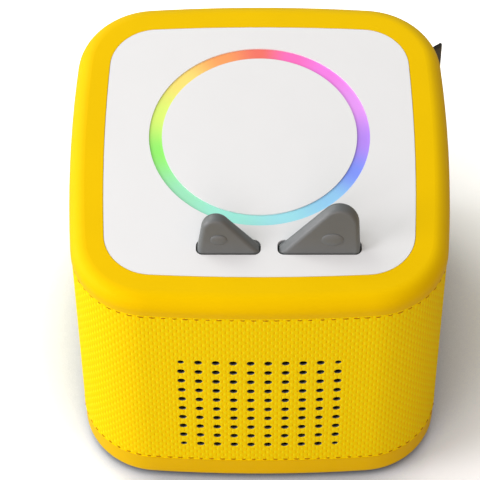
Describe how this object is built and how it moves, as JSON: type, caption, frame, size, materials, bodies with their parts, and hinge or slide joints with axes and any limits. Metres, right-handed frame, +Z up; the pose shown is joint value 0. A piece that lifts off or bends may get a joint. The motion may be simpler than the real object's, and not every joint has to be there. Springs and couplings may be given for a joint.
{
  "type": "audio story player",
  "caption": "Padded cube-shaped audio story player with a woven fabric sleeve, a light ring on its white top and ear-shaped volume levers that rock.",
  "frame": {"origin": "on the table, under the middle of the cube", "axes": "+Z up, the perforated loudspeaker side faces -Y, the large volume-up ear is on +X"},
  "size_m": [0.12, 0.12, 0.1199],
  "materials": {
    "yellow_soft_touch": "smooth satin soft-touch moulding",
    "yellow_base": "smooth satin moulding",
    "white_panel": "fine matt moulding",
    "ring_diffuser": "translucent, lit from below in a rainbow of soft colours",
    "ear_grey": "soft matt dark grey",
    "yellow_fabric": "coarse plain weave, stitched along both hems",
    "foam": "open-cell padding",
    "grey_ribbon": "woven ribbon",
    "black_plastic": "fine matt moulding",
    "housing_plastic": "structural moulding",
    "foot_rubber": "soft matt",
    "screw_steel": "zinc plated",
    "circuit_board": "solder mask",
    "chip_black": "moulded packages",
    "shield_steel": "tinned sheet",
    "header_white": "natural nylon",
    "cell_wrap": "plain shrink wrap",
    "contact_nickel": "nickel plated spring plate",
    "port_metal": "drawn shell",
    "led_lens": "clear moulded lens",
    "magnet_steel": "nickel plated magnet",
    "ferrite": "dark sintered magnet",
    "yoke_steel": "plated plate steel",
    "basket_steel": "black painted pressing",
    "cone_paper": "coated paper",
    "surround_rubber": "soft roll",
    "spider_cloth": "resin-stiffened cloth",
    "copper_coil": "enamelled winding on a former",
    "gasket_foam": "foam gasket",
    "lead_pvc": "insulated lead"
  },
  "bodies": {
    "root": {"top_frame": "yellow_soft_touch", "top_panel": "white_panel", "figure_disc": "white_panel", "ring_diffuser": "ring_diffuser", "fabric_sleeve": "yellow_fabric", "foam_sleeve": "foam", "pull_tab": "grey_ribbon", "base_shell": "yellow_base", "rubber_feet": "foot_rubber", "battery_door": "yellow_base", "door_screws": "screw_steel", "inner_housing": "housing_plastic", "housing_screws": "screw_steel", "panel_screws": "screw_steel", "battery_tray": "housing_plastic", "battery_cells": "cell_wrap", "battery_contacts": "contact_nickel", "main_board": "circuit_board", "board_screws": "screw_steel", "rf_shield": "shield_steel", "main_chips": "chip_black", "board_connectors": "header_white", "port_plate": "black_plastic", "headphone_jack": "black_plastic", "usb_port": "port_metal", "led_board": "circuit_board", "ring_leds": "led_lens", "tag_antenna": "circuit_board", "magnet_holder": "housing_plastic", "figure_magnet": "magnet_steel", "ear_carrier": "housing_plastic", "ear_pins": "screw_steel", "switch_board": "circuit_board", "volume_switches": "chip_black", "carrier_screws": "screw_steel", "speaker_grille": "black_plastic", "speaker_gasket": "gasket_foam", "speaker_basket": "basket_steel", "cone_surround": "surround_rubber", "pole_plate": "yoke_steel", "speaker_magnet": "ferrite", "speaker_yoke": "yoke_steel", "speaker_spider": "spider_cloth", "speaker_screws": "screw_steel", "speaker_lead": "lead_pvc", "battery_lead": "lead_pvc", "top_lead": "lead_pvc", "radio_antenna": "circuit_board"},
    "down_ear": {"volume_down_ear": "ear_grey"},
    "up_ear": {"volume_up_ear": "ear_grey"},
    "down_switch": {"down_switch_plunger": "header_white"},
    "up_switch": {"up_switch_plunger": "header_white"},
    "cone": {"speaker_cone": "cone_paper", "dust_cap": "cone_paper", "voice_coil": "copper_coil"}
  },
  "joints": [
    {"name": "down_ear_rock", "type": "hinge", "parent": "root", "child": "down_ear", "pos_m": [-0.0096, -0.038, 0.0992], "axis": [-1, 0, 0], "range_deg": [0, 3], "stiffness_Nm_per_rad": 0.4},
    {"name": "up_ear_rock", "type": "hinge", "parent": "root", "child": "up_ear", "pos_m": [0.0185, -0.038, 0.0992], "axis": [-1, 0, 0], "range_deg": [0, 3], "stiffness_Nm_per_rad": 0.4},
    {"name": "down_switch_press", "type": "slide", "parent": "root", "child": "down_switch", "axis": [0, -1, 0], "range_m": [0, 0.00032]},
    {"name": "up_switch_press", "type": "slide", "parent": "root", "child": "up_switch", "axis": [0, -1, 0], "range_m": [0, 0.00032]},
    {"name": "cone_travel", "type": "slide", "parent": "root", "child": "cone", "axis": [0, -1, 0], "range_m": [-0.0006, 0.0006], "stiffness_N_per_m": 1500}
  ],
  "couplings": [
    {"joint": "down_switch_press", "follows": "down_ear_rock", "m_per_rad": 0.006},
    {"joint": "up_switch_press", "follows": "up_ear_rock", "m_per_rad": 0.006}
  ]
}
